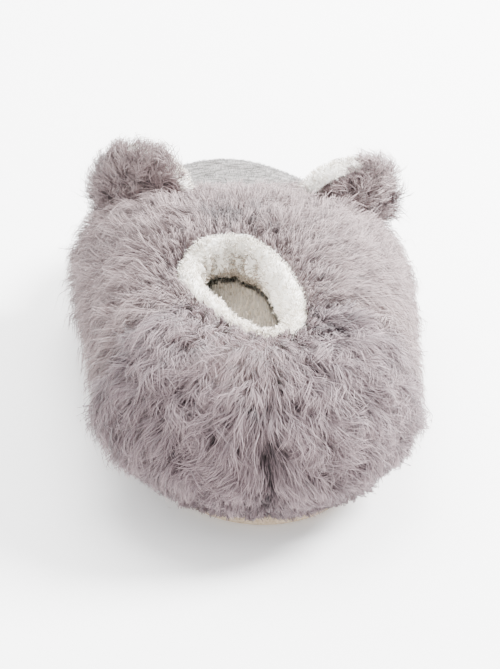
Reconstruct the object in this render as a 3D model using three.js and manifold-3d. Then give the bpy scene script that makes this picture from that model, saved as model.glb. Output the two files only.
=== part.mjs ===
// A closed-back plush slipper for the right foot, made as an animal: long-haired fur
// over the heel, sides and instep, a smooth padded face panel over the toe, two round
// ears, a rolled fleece cuff and a thin soft sole. Millimetres, +Z up, toe towards +Y,
// the outer side of the foot towards +X, standing on the floor at Z = 0.
import * as THREE from 'three';
import { mergeVertices } from 'three/addons/utils/BufferGeometryUtils.js';
import Module from 'manifold-3d';

const wasm = await Module();
wasm.setup();

// Driving sizes of the last and the sole
const soleLength = 250;
const ballWidth = 93;
const heelHeight = 54;
const instepHeight = 57;
const toeHeight = 44.5;
const soleThickness = 5;
const soleEdgeRadius = 1.6;
const toeSpring = 5;
const archRise = 1.2;
const insoleThickness = 7;

// The upper: a padded fabric wall that swells out over the edge of the sole
const wallThickness = 3;
const sideSwell = 13;
const heelSwell = 12;
const toeSwell = 8;
const featherInset = 1.5;
const seat = 0.3; // clearance between pieces that are sewn or glued together

// The collar opening, as an oval seen from above
const collarLength = 84;
const collarWidth = 42;
const collarBack = 24; // from the back of the sole to the opening
const collarOffset = -3; // towards the inner side of the foot
const collarTurn = 14; // degrees, its back end towards the outer side
const collarTaper = 0.17; // how much wider its front is than its middle, as a share
const cuffWidth = 10;
const cuffHeight = 16;
const cuffSink = 2; // middle of the roll under the wall's edge

// The face panel over the toe
const panelStart = 173; // from the back of the sole to the seam, on the instep
const panelSlant = 17; // degrees, the seam runs forward as it goes down
const panelThickness = 4;
const furOverhang = 7; // of the hair over the seam

// The pile of the fur, as locks of hair
const pileHeight = 13;
const lockSpacing = 21;
const hemClearance = 2.5; // of the lowest hair over the floor

// The ears
const earWidth = 34;
const earHeight = 31;
const earBackThickness = 8;
const earFrontThickness = 9;
const earPile = 7;
const earStart = 171; // from the back of the sole to the foot of an ear
const earSpread = 79; // between the feet of the two ears

// Sections of the last. at is a share of the sole's length, centre, outer and inner are
// shares of the ball width, and the crown mixes the three heights in these shares.
const sections = [
  { at: 0.0, centre: 0.01, outer: 0.35, inner: 0.35, heel: 1.0, instep: 0.0, toe: 0.0 },
  { at: 0.15, centre: 0.01, outer: 0.365, inner: 0.36, heel: 0.9, instep: 0.1, toe: 0.0 },
  { at: 0.3, centre: 0.01, outer: 0.41, inner: 0.4, heel: 0.45, instep: 0.55, toe: 0.0 },
  { at: 0.45, centre: 0.005, outer: 0.46, inner: 0.45, heel: 0.0, instep: 1.0, toe: 0.0 },
  { at: 0.58, centre: 0.0, outer: 0.495, inner: 0.485, heel: 0.0, instep: 0.75, toe: 0.25 },
  { at: 0.7, centre: -0.01, outer: 0.5, inner: 0.5, heel: 0.0, instep: 0.35, toe: 0.65 },
  { at: 0.85, centre: -0.03, outer: 0.45, inner: 0.47, heel: 0.0, instep: 0.05, toe: 0.95 },
  { at: 1.0, centre: -0.055, outer: 0.4, inner: 0.42, heel: 0.0, instep: 0.0, toe: 1.0 },
];
const heelRound = 0.15; // share of the length over which the heel rounds off
const toeRound = 0.22; // the same at the toe

// How square the wall is between its foot and its crown, facing the side, toe and heel
const sideSquareness = 2.5;
const toeSquareness = 4.2;
const heelSquareness = 3.6;
const endReach = 2.2; // power that keeps the toe's and heel's squareness near the ends
const tuckHeight = 0.42; // share of the wall's height over which it tucks in to the sole

// Waist of the sole, as shares of the length
const waistMiddle = 0.42;
const waistReach = 0.16;
const springStart = 0.8;

// Fineness of the faceted solids
const stations = 26; // along each side of the outline
const rings = 11; // from the foot of the wall to its crown
const ringCrowding = 1.35; // power that crowds the rings towards the foot
const hubShare = 0.26; // where the rings close, as a share of the length
const collarSteps = 36; // around the collar
const cuffSides = 8; // of the cuff's section
const earStations = 22; // around an ear
const bearings = 240; // tried around the outline to find the height over a point
const nudge = 0.004; // of a turn, to either side of a point to find a direction

const lerp = THREE.MathUtils.lerp;
const clamp = THREE.MathUtils.clamp;
const radians = THREE.MathUtils.degToRad;

// A smooth curve through one column of the section table
function column(name, at) {
  const rows = sections;
  let i = rows.findIndex((row) => row.at >= at);
  i = clamp(i, 1, rows.length - 1);
  const [a, b] = [rows[i - 1], rows[i]];
  const before = rows[Math.max(i - 2, 0)];
  const after = rows[Math.min(i + 1, rows.length - 1)];
  const step = b.at - a.at;
  const slopeA = ((b[name] - before[name]) / (b.at - before.at)) * step;
  const slopeB = ((after[name] - a[name]) / (after.at - a.at)) * step;
  const t = (at - a.at) / step;
  const [t2, t3] = [t * t, t * t * t];
  return (
    (2 * t3 - 3 * t2 + 1) * a[name] +
    (t3 - 2 * t2 + t) * slopeA +
    (3 * t2 - 2 * t3) * b[name] +
    (t3 - t2) * slopeB
  );
}

const roundEnd = (q) => (q < 1 ? Math.sqrt(Math.max(0, 1 - (1 - q) ** 2)) : 1);

// A point of the sole's outline: at is a share of the length, side is 1 or -1
function solePoint(at, side) {
  const half = column(side > 0 ? 'outer' : 'inner', at) * ballWidth;
  const ends = roundEnd(at / heelRound) * roundEnd((1 - at) / toeRound);
  const centre = column('centre', at) * ballWidth;
  return new THREE.Vector2(centre + side * half * ends, at * soleLength);
}

// Shares of the length that space the stations evenly along the outline
const fineSteps = 600;
const fineLengths = [0];
for (let i = 1; i <= fineSteps; i++) {
  const at = (k) => 0.5 - 0.5 * Math.cos((Math.PI * k) / fineSteps);
  const [p, q] = [solePoint(at(i - 1), 1), solePoint(at(i), 1)];
  fineLengths.push(fineLengths[i - 1] + p.distanceTo(q));
}

function shareAlong(part) {
  const wanted = part * fineLengths[fineSteps];
  let i = fineLengths.findIndex((length) => length >= wanted);
  i = clamp(i, 1, fineSteps);
  const t = (wanted - fineLengths[i - 1]) / (fineLengths[i] - fineLengths[i - 1]);
  return 0.5 - 0.5 * Math.cos((Math.PI * (i - 1 + t)) / fineSteps);
}

// The outline as a loop: turn runs from 0 at the heel over the outer side to 0.5 at the
// toe, and back over the inner side. grow moves it outward.
function outlinePoint(turn, grow) {
  const side = turn <= 0.5 ? 1 : -1;
  const part = turn <= 0.5 ? turn * 2 : 2 - turn * 2;
  const at = shareAlong(clamp(part, 0, 1));
  const here = solePoint(at, side);
  const back = shareAlong(clamp(part - nudge, 0, 1));
  const front = shareAlong(clamp(part + nudge, 0, 1));
  const a = part - nudge < 0 ? solePoint(shareAlong(nudge - part), -side) : solePoint(back, side);
  const beyond = part + nudge > 1;
  const b = beyond ? solePoint(shareAlong(2 - part - nudge), -side) : solePoint(front, side);
  const along = b.sub(a).normalize();
  return here.add(new THREE.Vector2(along.y * side, -along.x * side).multiplyScalar(grow));
}

const springAt = (y) => {
  const share = clamp((y / soleLength - springStart) / (1 - springStart), 0, 1.2);
  return toeSpring * share * share;
};
const featherHeight = (y) => soleThickness + seat + springAt(y);

function crownHeight(y) {
  const at = clamp(y / soleLength, 0, 1);
  return (
    column('heel', at) * heelHeight +
    column('instep', at) * instepHeight +
    column('toe', at) * toeHeight +
    springAt(y)
  );
}

const collarMiddle = new THREE.Vector2(collarOffset, collarBack + collarLength / 2);
const hub = new THREE.Vector2(collarOffset, hubShare * soleLength);

function squareness(turn) {
  const facing = Math.cos(2 * Math.PI * turn); // 1 at the heel, -1 at the toe
  const end = facing > 0 ? heelSquareness : toeSquareness;
  return lerp(sideSquareness, end, Math.abs(facing) ** endReach);
}

function swell(turn) {
  const facing = Math.cos(2 * Math.PI * turn);
  return lerp(sideSwell, facing > 0 ? heelSwell : toeSwell, Math.abs(facing) ** 2);
}

// A point of the upper's outside. rise is 0 at the foot of the wall and 1 at the crown,
// and grow moves the surface outward, or inward where it is negative.
function skin(turn, rise, grow = 0) {
  const angle = (Math.PI / 2) * rise ** ringCrowding;
  const power = 2 / squareness(turn);
  const spread = Math.max(0, Math.cos(angle)) ** power;
  const height = Math.sin(angle) ** power;
  const rim = outlinePoint(turn, swell(turn) + grow);
  const foot = outlinePoint(turn, grow - featherInset);
  const tuck = Math.max(0, 1 - height / tuckHeight) ** 2;
  const edge = rim.lerp(foot, tuck);
  const plan = hub.clone().lerp(edge, spread);
  const base = featherHeight(plan.y);
  const z = base + (crownHeight(plan.y) + grow - base) * height;
  return new THREE.Vector3(plan.x, plan.y, z);
}

function normalAt(turn, rise) {
  const lift = 0.01;
  const across = skin((turn + nudge) % 1, rise).sub(skin((turn + 1 - nudge) % 1, rise));
  const up = skin(turn, rise + lift).sub(skin(turn, Math.max(rise - lift, 0)));
  return across.cross(up).normalize();
}

// Builds a closed solid from a list of points and triangles
function solidFrom(points, faces) {
  const geometry = new THREE.BufferGeometry().setFromPoints(points);
  geometry.setIndex(faces.flat());
  return solidOf(geometry, new THREE.Matrix4());
}

function solidOf(geometry, matrix) {
  const plain = geometry.clone().applyMatrix4(matrix);
  plain.deleteAttribute('normal');
  plain.deleteAttribute('uv');
  const merged = mergeVertices(plain, 1e-4);
  const mesh = new wasm.Mesh({
    numProp: 3,
    vertProperties: merged.attributes.position.array,
    triVerts: new Uint32Array(merged.index.array),
  });
  return new wasm.Manifold(mesh);
}

// Joins loops of equal length into a skin. Each loop runs heel, outer side, toe, inner
// side, and the first one is closed by strips from side to side.
function loft(loops, apex) {
  const count = loops[0].length;
  const points = loops.flat();
  const faces = [];
  for (let r = 0; r + 1 < loops.length; r++) {
    for (let i = 0; i < count; i++) {
      const [a, b] = [r * count + i, r * count + ((i + 1) % count)];
      faces.push([a, b, b + count], [a, b + count, a + count]);
    }
  }
  const strip = (start, flip) => {
    for (let i = 0; i < count / 2; i++) {
      const [a, b] = [start + i, start + i + 1];
      const [c, d] = [start + ((count - i) % count), start + count - i - 1];
      const quad = [[a, c, b], [b, c, d]].filter((f) => new Set(f).size === 3);
      faces.push(...quad.map((f) => (flip ? [f[0], f[2], f[1]] : f)));
    }
  };
  strip(0, false);
  const last = (loops.length - 1) * count;
  if (apex) {
    points.push(apex);
    for (let i = 0; i < count; i++) {
      faces.push([last + i, last + ((i + 1) % count), points.length - 1]);
    }
  } else {
    strip(last, true);
  }
  return solidFrom(points, faces);
}

const turns = Array.from({ length: stations * 2 }, (_, i) => i / (stations * 2));

// The whole body of the upper, grown by a distance, with its foot let down by a skirt
function body(grow, skirt = 0) {
  const loops = [];
  if (skirt) {
    loops.push(turns.map((turn) => skin(turn, 0, grow).setZ(-skirt)));
  }
  for (let r = 0; r < rings; r++) {
    loops.push(turns.map((turn) => skin(turn, r / rings, grow)));
  }
  return loft(loops, skin(0, 1, grow));
}

// The collar's oval, moved outward by a distance
function collarOval(part) {
  const angle = 2 * Math.PI * part;
  const oval = (value) => Math.sign(value) * Math.abs(value) ** (2 / 2.4);
  const widen = 1 + collarTaper * Math.sin(angle);
  const across = (oval(Math.cos(angle)) * widen * collarWidth) / 2;
  const p = new THREE.Vector2(across, (oval(Math.sin(angle)) * collarLength) / 2);
  p.rotateAround(new THREE.Vector2(), radians(collarTurn));
  return p.add(collarMiddle);
}

function collarPoint(part, grow) {
  const along = collarOval(part + nudge).sub(collarOval(part - nudge)).normalize();
  return collarOval(part).add(new THREE.Vector2(along.y, -along.x).multiplyScalar(grow));
}

const collarParts = Array.from({ length: collarSteps }, (_, i) => i / collarSteps);

// The room over the collar's oval, from inside the upper to well above it
function collarPrism() {
  const shape = new THREE.Shape(collarParts.map((part) => collarPoint(part, 0)));
  const depth = instepHeight * 3;
  const prism = new THREE.ExtrudeGeometry(shape, { depth, bevelEnabled: false });
  return solidOf(prism, new THREE.Matrix4().makeTranslation(0, 0, heelHeight / 2));
}

// Height of the upper's outside over a point of the plan, found along its own ring lines
function heightOver(x, y) {
  const away = new THREE.Vector2(x, y).sub(hub);
  let best = { gap: Infinity };
  for (let i = 0; i < bearings; i++) {
    const turn = i / bearings;
    const edge = outlinePoint(turn, swell(turn)).sub(hub);
    const gap = Math.abs(edge.angleTo(away));
    if (gap < best.gap) {
      best = { gap, turn, reach: edge.length() };
    }
  }
  const power = squareness(best.turn);
  const spread = clamp(away.length() / best.reach, 0, 1);
  const base = featherHeight(y);
  return base + (crownHeight(y) - base) * (1 - spread ** power) ** (1 / power);
}

// A tube of oval section along a closed path of points
function ringTube(path, width, height, sides) {
  const count = path.length;
  const points = [];
  const faces = [];
  path.forEach((p, i) => {
    const ahead = path[(i + 1) % count].clone().sub(path[(i + count - 1) % count]);
    const out = new THREE.Vector3(ahead.y, -ahead.x, 0).normalize();
    for (let j = 0; j < sides; j++) {
      const angle = (2 * Math.PI * j) / sides;
      const offset = out.clone().multiplyScalar((Math.cos(angle) * width) / 2);
      offset.z = (Math.sin(angle) * height) / 2;
      points.push(p.clone().add(offset));
    }
  });
  for (let i = 0; i < count; i++) {
    for (let j = 0; j < sides; j++) {
      const next = ((i + 1) % count) * sides;
      const beside = (j + 1) % sides;
      const [a, b] = [i * sides + j, i * sides + beside];
      const [c, d] = [next + j, next + beside];
      faces.push([a, c, d], [a, d, b]);
    }
  }
  return solidFrom(points, faces);
}

function cuffRoll(grow) {
  const path = collarParts.map((part) => {
    const edge = collarPoint(part, 0);
    const middle = collarPoint(part, -cuffWidth / 2 - seat);
    return new THREE.Vector3(middle.x, middle.y, heightOver(edge.x, edge.y) - cuffSink);
  });
  return ringTube(path, cuffWidth + 2 * grow, cuffHeight + 2 * grow, cuffSides);
}

// How far a point lies ahead of the slanted seam of the face panel
function aheadBy(p) {
  return p.y - panelStart - (crownHeight(panelStart) - p.z) * Math.tan(radians(panelSlant));
}

// Everything ahead of that seam, moved back by a margin
function aheadOfSeam(margin) {
  const size = soleLength * 2;
  const box = new THREE.BoxGeometry(size, size, size);
  const seamHeight = crownHeight(panelStart);
  const place = new THREE.Matrix4()
    .makeTranslation(0, panelStart - margin, seamHeight)
    .multiply(new THREE.Matrix4().makeRotationX(radians(panelSlant)))
    .multiply(new THREE.Matrix4().makeTranslation(0, size / 2, 0));
  return solidOf(box, place);
}

function makeOutsole() {
  const level = (grow, z) =>
    turns.map((turn) => {
      const p = outlinePoint(turn, grow);
      return new THREE.Vector3(p.x, p.y, z(p.y));
    });
  const underside = (y) => {
    const waist = clamp(1 - Math.abs(y / soleLength - waistMiddle) / waistReach, 0, 1);
    return springAt(y) + archRise * waist * waist * (3 - 2 * waist);
  };
  return loft([
    level(-soleEdgeRadius, underside),
    level(-soleEdgeRadius * 0.3, (y) => underside(y) + soleEdgeRadius * 0.3),
    level(0, (y) => underside(y) + soleEdgeRadius),
    level(0, (y) => springAt(y) + soleThickness - soleEdgeRadius * 0.4),
    level(-soleEdgeRadius * 0.4, (y) => springAt(y) + soleThickness),
  ]);
}

// A cushion over the sole that fills the upper from wall to wall, with a rounded top edge
function makeInsole() {
  const reach = sideSwell / 2;
  const round = insoleThickness / 3;
  const level = (grow, lift) =>
    turns.map((turn) => {
      const p = outlinePoint(turn, grow);
      return new THREE.Vector3(p.x, p.y, featherHeight(p.y) + lift);
    });
  const top = level(reach - round, insoleThickness);
  const layer = loft([level(reach, 0), level(reach, insoleThickness - round), top]);
  return layer.intersect(body(-wallThickness - seat, 1));
}

const earTurns = Array.from({ length: earStations }, (_, i) => i / earStations);

// The fleece front of an ear: a round cushion, flat where it meets the back
function earFrontPad() {
  const ring = (share, deep) =>
    earTurns.map((turn) => {
      const angle = -2 * Math.PI * turn;
      return new THREE.Vector3(
        (Math.cos(angle) * share * earWidth) / 2,
        seat / 2 + earFrontThickness * deep,
        (Math.sin(angle) * share * earHeight) / 2,
      );
    });
  const top = new THREE.Vector3(0, seat / 2 + earFrontThickness, 0);
  return loft([ring(0.94, 0), ring(1, 0.35), ring(0.85, 0.75), ring(0.5, 0.95)], top);
}

// A seeded random number, so that the fur is the same each time
function seeded(seed) {
  let state = seed;
  return () => {
    state = (state + 0x6d2b79f5) | 0;
    let t = Math.imul(state ^ (state >>> 15), 1 | state);
    t = (t + Math.imul(t ^ (t >>> 7), 61 | t)) ^ t;
    return ((t ^ (t >>> 14)) >>> 0) / 4294967296;
  };
}

// A row of locks is three rings of points: the tips, the middles and the roots. Locks
// alternate with the valleys between them. along is a share of the way to the next row,
// lift is a share of the pile, and vary says how much a lock's length and lean differ.
const lockRings = [
  { lockAlong: -0.35, lockLift: 1.0, valleyAlong: 0.15, valleyLift: 0.55, vary: 1 },
  { lockAlong: 0.4, lockLift: 0.85, valleyAlong: 0.55, valleyLift: 0.5, vary: 0 },
  { lockAlong: 0.9, lockLift: 0.3, valleyAlong: 0.92, valleyLift: 0.25, vary: 0 },
];
const lengthVariation = 0.4; // of a lock's hang
const liftVariation = 0.12; // of a lock's height
const leanVariation = 0.35; // of the step to the next lock

// Rows of locks over a surface, each row standing half a step on
function furLoops(levels, count, random, pointAt) {
  const around = (value, spread, draw) => value * (1 + spread * (2 * draw - 1));
  const loops = [];
  for (let row = 0; row + 1 < levels.length; row++) {
    const [low, high] = [levels[row], levels[row + 1]];
    const draws = Array.from({ length: count }, () => [random(), random(), random()]);
    for (const ring of lockRings) {
      const loop = draws.map(([long, tall, sway], i) => {
        const isLock = (i + row) % 2 === 0;
        const hang = around(ring.lockAlong, lengthVariation * ring.vary, long);
        const rise = lerp(low, high, isLock ? hang : ring.valleyAlong);
        const lift = around(isLock ? ring.lockLift : ring.valleyLift, liftVariation, tall);
        const lean = leanVariation * ring.vary * (2 * sway - 1);
        return pointAt((i + lean + count) / count, Math.max(rise, lowestRise), lift);
      });
      loops.push(loop);
    }
  }
  return loops;
}

// Rises of the rows of locks up the wall, and then forward over the instep
const furLevels = [0.04, 0.11, 0.22, 0.34, 0.47, 0.6, 0.72, 0.82, 0.9, 0.95, 0.98];
const lowestRise = 0.01;

// What is left of the pile at the face panel's seam, the collar and the hem, and at the
// foot of the wall inside the hem, as shares
const seamPile = 0.4;
const collarPile = 0.5;
const hemPile = 0.35;
const footPile = 0.15;

// The fur's whole outer form
function furBody() {
  const random = seeded(11);
  const ring = turns.map((turn) => skin(turn, furLevels[1]));
  const girth = ring.reduce((sum, p, i) => sum + p.distanceTo(ring[(i + 1) % ring.length]), 0);
  const count = Math.round(girth / lockSpacing) * 2;
  const pointAt = (turn, rise, lift) => {
    const p = skin(turn % 1, rise);
    const toSeam = clamp((furOverhang - aheadBy(p)) / (2 * pileHeight), 0, 1);
    const toCollar = clamp(collarDistance(new THREE.Vector2(p.x, p.y)) / pileHeight, 0, 1);
    const toHem = clamp((p.z - soleThickness) / pileHeight, 0, 1);
    const back = lerp(seamPile, 1, Math.sqrt(toSeam)) * lerp(collarPile, 1, toCollar);
    const full = back * lerp(hemPile, 1, toHem);
    p.addScaledVector(normalAt(turn % 1, rise), lift * full * pileHeight);
    return p.setZ(Math.max(p.z, hemClearance));
  };
  const foot = Array.from({ length: count }, (_, i) => pointAt(i / count, lowestRise, footPile));
  return loft([foot, ...furLoops(furLevels, count, random, pointAt)], skin(0, 1));
}

// Distance outside the collar's oval, in the plan
function collarDistance(p) {
  const centre = collarPoint(0, 0).add(collarPoint(0.5, 0)).multiplyScalar(0.5);
  const q = p.clone().sub(centre).rotateAround(new THREE.Vector2(), -radians(collarTurn));
  const reach = Math.hypot(q.x / (collarWidth / 2), q.y / (collarLength / 2));
  return q.length() * (1 - 1 / Math.max(reach, 1e-6));
}

// The two ears stand at the ends of the face panel's seam. facing is where an ear's
// fleece front looks, and up is the way from its foot to its tip.
const earPoses = [
  { name: 'left', side: -1, facing: [0.5, 0.85, 0.15], up: [-0.2, -0.05, 0.95] },
  { name: 'right', side: 1, facing: [-0.4, 0.75, 0.5], up: [0.28, -0.35, 0.85] },
];

function earMatrix(pose) {
  const x = (pose.side * earSpread) / 2;
  const front = new THREE.Vector3(...pose.facing).normalize();
  const up = new THREE.Vector3(...pose.up);
  const across = new THREE.Vector3().crossVectors(front, up).normalize();
  up.crossVectors(across, front);
  const middle = new THREE.Vector3(x, earStart, heightOver(x, earStart));
  middle.addScaledVector(up, earHeight / 2 - wallThickness);
  return new THREE.Matrix4().makeBasis(across, front, up).setPosition(middle);
}

const earLevels = [0.05, 0.35, 0.62, 0.85];
const tipLift = 0.8; // of the hair in the middle of an ear's back
const pocketLift = 1.25; // of the room round an ear, over its longest locks

// A point over the ear's back, in the ear's own frame. rise is 0 at the rim and 1 at the
// middle of the back, and lift is a share of the pile.
function earSkin(turn, rise, lift) {
  const angle = 2 * Math.PI * turn;
  const share = Math.cos((Math.PI / 2) * rise);
  const bulge = Math.sin((Math.PI / 2) * rise);
  const out = new THREE.Vector3(Math.cos(angle) * share, -bulge, Math.sin(angle) * share);
  const size = new THREE.Vector3(earWidth / 2, earBackThickness, earHeight / 2);
  const p = out.clone().multiply(size).addScaledVector(out, lift * earPile);
  return p.setY(Math.min(p.y - seat / 2, -seat / 2));
}

// The furry back of an ear, flat where it meets the front
function earBackPad(pose) {
  const random = seeded(23 + pose.side);
  const behind = (turn, rise, lift) => {
    const p = earSkin(turn, rise, lift);
    return p.setY(p.y - seat);
  };
  const rim = earTurns.map((turn) => earSkin(turn, 0, 0));
  const locks = furLoops(earLevels, earStations, random, behind);
  return loft([rim, ...locks], behind(0, 1, tipLift));
}

// The smooth room that an ear takes in the fur round its foot
function earPocket() {
  const ring = (rise) => earTurns.map((turn) => earSkin(turn, rise, pocketLift));
  const front = ring(0).map((p) => p.setY(earFrontThickness));
  const behind = [0, 0.25, 0.5, 0.75].map((rise) => ring(rise).map((p) => p.setY(p.y - seat)));
  return loft([front, ...behind], earSkin(0, 1, pocketLift));
}

const join = (solids) => wasm.Manifold.union(solids);
const largest = (solid) => solid.decompose().sort((a, b) => b.volume() - a.volume())[0];

// The pieces, each clear of its neighbours by the seat
const wall = body(0).subtract(body(-wallThickness, 1)).subtract(collarPrism());
const panelOuter = body(seat + panelThickness);
const panel = panelOuter.subtract(body(seat, 1)).intersect(aheadOfSeam(0));
const panelKeep = body(2 * seat + panelThickness, 1).intersect(aheadOfSeam(seat));
const cuff = cuffRoll(0);
const outsole = makeOutsole();
const insole = makeInsole();

const ears = earPoses.map((pose) => {
  const place = (solid) => solid.transform(earMatrix(pose).elements);
  const trim = (solid) => largest(place(solid).subtract(body(seat, 1)).subtract(panelKeep));
  const front = trim(earFrontPad());
  const back = trim(earBackPad(pose));
  const keep = place(earPocket());
  return { pose, front, back, keep };
});

// Fur, cut clear of all that it meets, and then fused to the wall
const hem = solidOf(
  new THREE.BoxGeometry(soleLength * 2, soleLength * 3, soleLength),
  new THREE.Matrix4().makeTranslation(0, soleLength / 2, soleThickness - soleLength / 2),
);
const soleKeep = body(-featherInset, 1).intersect(hem);
const furCuts = [
  aheadOfSeam(-furOverhang),
  panelKeep,
  soleKeep,
  cuffRoll(seat),
  collarPrism(),
  body(-wallThickness, 1),
  ...ears.map((ear) => ear.keep),
];
const fur = furCuts.reduce((left, cut) => left.subtract(cut), furBody());
const upper = largest(wall.add(fur));

// The scene graph
function finish(colour, roughness) {
  return new THREE.MeshStandardMaterial({ color: colour, roughness, metalness: 0 });
}
const furFabric = finish(0xa39799, 0.95);
const fleece = finish(0xe9e6df, 0.95);
const jersey = finish(0xb9b9b8, 0.9);
const soleFabric = finish(0xc9b193, 0.85);

function meshOf(name, solid, material) {
  const made = solid.getMesh();
  const geometry = new THREE.BufferGeometry();
  const positions = new Float32Array(made.numVert * 3);
  for (let i = 0; i < made.numVert; i++) {
    positions.set(made.vertProperties.subarray(i * made.numProp, i * made.numProp + 3), i * 3);
  }
  geometry.setAttribute('position', new THREE.BufferAttribute(positions, 3));
  geometry.setIndex(new THREE.BufferAttribute(made.triVerts, 1));
  geometry.computeVertexNormals();
  const mesh = new THREE.Mesh(geometry, material);
  mesh.name = name;
  return mesh;
}

const slipper = new THREE.Group();
slipper.add(meshOf('upper', upper, furFabric));
slipper.add(meshOf('face_panel', panel, jersey));
slipper.add(meshOf('collar_cuff', cuff, fleece));
slipper.add(meshOf('insole', insole, fleece));
slipper.add(meshOf('outsole', outsole, soleFabric));
for (const { pose, front, back } of ears) {
  slipper.add(meshOf(`ear_${pose.name}_back`, back, furFabric));
  slipper.add(meshOf(`ear_${pose.name}_front`, front, fleece));
}

// The origin is the middle of the whole slipper's box, on the floor
const bounds = new THREE.Box3().setFromObject(slipper);
const middle = bounds.getCenter(new THREE.Vector3());
slipper.position.set(-middle.x, -middle.y, -bounds.min.z);

export default slipper;
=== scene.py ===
# A plush animal slipper for the right foot: long wavy fur over the heel, sides and instep,
# a brushed heather toe, round ears, a rolled fleece collar and a tan cloth sole. Lengths
# are millimetres on the shoe's own last: x to the outer side, y from the back of the sole
# towards the toe, z up from the floor.
import math

import bpy
import numpy as np
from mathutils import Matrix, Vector
from mathutils.kdtree import KDTree


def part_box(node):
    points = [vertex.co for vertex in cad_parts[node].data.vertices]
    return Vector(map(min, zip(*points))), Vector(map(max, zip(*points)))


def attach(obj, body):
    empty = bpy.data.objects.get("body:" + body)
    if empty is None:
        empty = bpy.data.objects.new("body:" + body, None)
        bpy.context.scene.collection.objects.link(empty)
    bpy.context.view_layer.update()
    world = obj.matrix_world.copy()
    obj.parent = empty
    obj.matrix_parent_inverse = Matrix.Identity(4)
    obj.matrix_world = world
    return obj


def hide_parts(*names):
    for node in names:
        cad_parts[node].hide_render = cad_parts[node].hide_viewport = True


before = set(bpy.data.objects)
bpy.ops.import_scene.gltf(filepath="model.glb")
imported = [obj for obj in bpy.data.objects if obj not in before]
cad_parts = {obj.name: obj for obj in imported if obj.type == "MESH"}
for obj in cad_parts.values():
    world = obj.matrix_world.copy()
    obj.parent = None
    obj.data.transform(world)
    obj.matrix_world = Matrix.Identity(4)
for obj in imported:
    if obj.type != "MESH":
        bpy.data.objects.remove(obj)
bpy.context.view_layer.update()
print("frame loaded")

millimetre = 0.001

# The last, with the same sizes as the solids
last = {
    "soleLength": 250.0,
    "ballWidth": 93.0,
    "heelHeight": 54.0,  # the three heights are from the floor to the wall's top
    "instepHeight": 57.0,
    "toeHeight": 44.5,
    "soleThickness": 5.0,
    "toeSpring": 5.0,
    "springStart": 0.8,
    "insoleThickness": 7.0,
    "wall": 3.0,
    "seat": 0.3,  # gap between the pieces that are sewn together
    "featherInset": 1.5,
    "sideSwell": 13.0,  # how far the wall bulges past the sole, at sides, heel and toe
    "heelSwell": 12.0,
    "toeSwell": 8.0,
    "sideSquareness": 2.5,  # 2 is an ellipse, more is boxier
    "toeSquareness": 4.2,
    "heelSquareness": 3.6,
    "endReach": 2.2,
    "tuckHeight": 0.42,
    "heelRound": 0.15,
    "toeRound": 0.22,
    "hubShare": 0.26,  # the lines up the wall meet at this share of the sole
    "ringCrowding": 1.35,
}

# Half widths and middle of the sole in ball widths, and each height's share, along the sole
sections = {
    "at": [0.0, 0.15, 0.3, 0.45, 0.58, 0.7, 0.85, 1.0],
    "centre": [0.01, 0.01, 0.01, 0.005, 0.0, -0.01, -0.03, -0.055],
    "outer": [0.35, 0.365, 0.41, 0.46, 0.495, 0.5, 0.45, 0.4],
    "inner": [0.35, 0.36, 0.4, 0.45, 0.485, 0.5, 0.47, 0.42],
    "heel": [1.0, 0.9, 0.45, 0.0, 0.0, 0.0, 0.0, 0.0],
    "instep": [0.0, 0.1, 0.55, 1.0, 0.75, 0.35, 0.05, 0.0],
    "toe": [0.0, 0.0, 0.0, 0.0, 0.25, 0.65, 0.95, 1.0],
}
collar = {
    "length": 84.0,
    "width": 42.0,
    "back": 24.0,
    "offset": -3.0,
    "turn": math.radians(14),
    "taper": 0.17,
    "squareness": 2.4,
    "cuffWidth": 10.0,
    "cuffHeight": 16.0,
    "cuffSink": 2.0,
}
panel = {"start": 173.0, "slant": math.radians(17), "thickness": 4.0}

# Small steps along the outline, the wall and the collar, to find which way they run
probe = {"outline": 0.002, "around": 0.003, "up": 0.008, "collar": 0.06}


def smoothColumn(name, at):
    ats = np.array(sections["at"])
    values = np.array(sections[name])
    i = np.clip(np.searchsorted(ats, at), 1, len(ats) - 1)
    before = np.maximum(i - 2, 0)
    after = np.minimum(i + 1, len(ats) - 1)
    step = ats[i] - ats[i - 1]
    slopeA = (values[i] - values[before]) / (ats[i] - ats[before]) * step
    slopeB = (values[after] - values[i - 1]) / (ats[after] - ats[i - 1]) * step
    t = (at - ats[i - 1]) / step
    t2 = t * t
    t3 = t2 * t
    start = (2 * t3 - 3 * t2 + 1) * values[i - 1] + (t3 - 2 * t2 + t) * slopeA
    return start + (3 * t2 - 2 * t3) * values[i] + (t3 - t2) * slopeB


def roundEnd(share):
    return np.sqrt(np.clip(1 - (1 - np.minimum(share, 1)) ** 2, 0, None))


def solePoint(at, side):
    half = np.where(side > 0, smoothColumn("outer", at), smoothColumn("inner", at))
    ends = roundEnd(at / last["heelRound"]) * roundEnd((1 - at) / last["toeRound"])
    x = (smoothColumn("centre", at) + side * half * ends) * last["ballWidth"]
    return np.stack([x, at * last["soleLength"]], -1)


# Lengths along the outline, which share its points out evenly
fineAts = 0.5 - 0.5 * np.cos(np.linspace(0, math.pi, 601))
finePoints = solePoint(fineAts, 1.0)
fineSteps = np.linalg.norm(np.diff(finePoints, axis=0), axis=1)
fineLengths = np.concatenate([[0], np.cumsum(fineSteps)])


# The sole's outline, where turn goes from 0 at the heel over the outer side to 1
def outline(turn):
    turn = np.mod(turn, 1.0)
    side = np.where(turn <= 0.5, 1.0, -1.0)
    part = np.where(turn <= 0.5, turn * 2, 2 - turn * 2)
    k = np.interp(part * fineLengths[-1], fineLengths, np.linspace(0, 1, 601))
    return solePoint(0.5 - 0.5 * np.cos(math.pi * k), side)


def unit(vectors):
    return vectors / np.maximum(np.linalg.norm(vectors, axis=-1, keepdims=True), 1e-9)


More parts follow.
